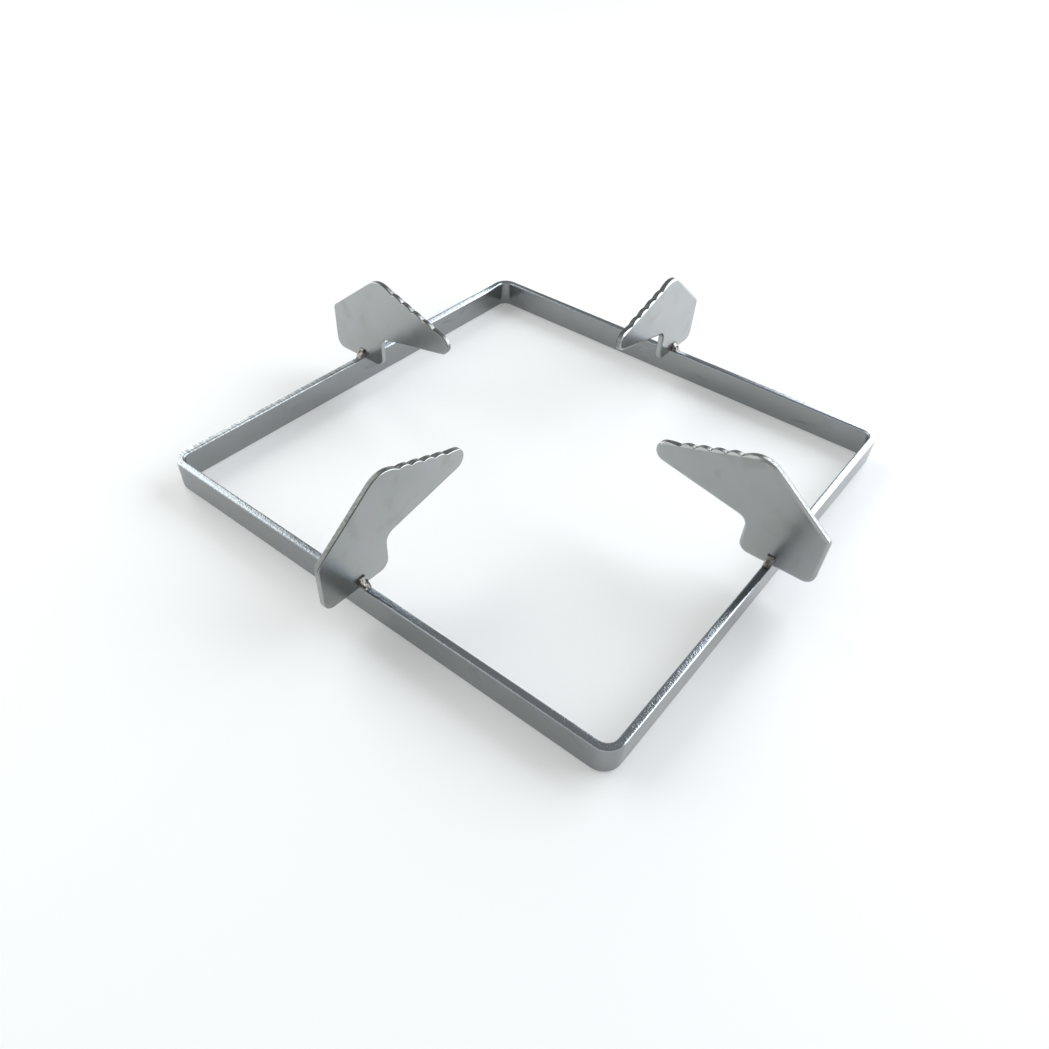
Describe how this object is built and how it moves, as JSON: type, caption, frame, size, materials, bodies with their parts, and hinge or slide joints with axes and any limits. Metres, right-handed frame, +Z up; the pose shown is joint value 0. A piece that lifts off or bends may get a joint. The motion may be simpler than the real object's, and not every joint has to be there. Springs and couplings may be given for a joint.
{
  "type": "hob pan support",
  "caption": "Pan support for a gas hob burner: a square ring of flat steel bar with notched sheet-steel fingers welded upright on the middle of its sides.",
  "frame": {"origin": "on the hob, under the centre of the square ring", "axes": "+Z up, +X to the right-hand side of the ring, +Y to its back"},
  "size_m": [0.24, 0.24, 0.0517],
  "materials": {
    "bar_steel": "satin, electropolished flat bar",
    "sheet_steel": "satin, electropolished sheet with sheared edges",
    "weld_steel": "lumpy as-welded bead with a brown heat tint"
  },
  "bodies": {
    "root": {"ring": "bar_steel", "finger_right": "sheet_steel", "finger_back": "sheet_steel", "finger_left": "sheet_steel", "finger_front": "sheet_steel", "weld_right_front": "weld_steel", "weld_right_back": "weld_steel", "weld_back_right": "weld_steel", "weld_back_left": "weld_steel", "weld_left_back": "weld_steel", "weld_left_front": "weld_steel", "weld_front_left": "weld_steel", "weld_front_right": "weld_steel"}
  },
  "joints": []
}
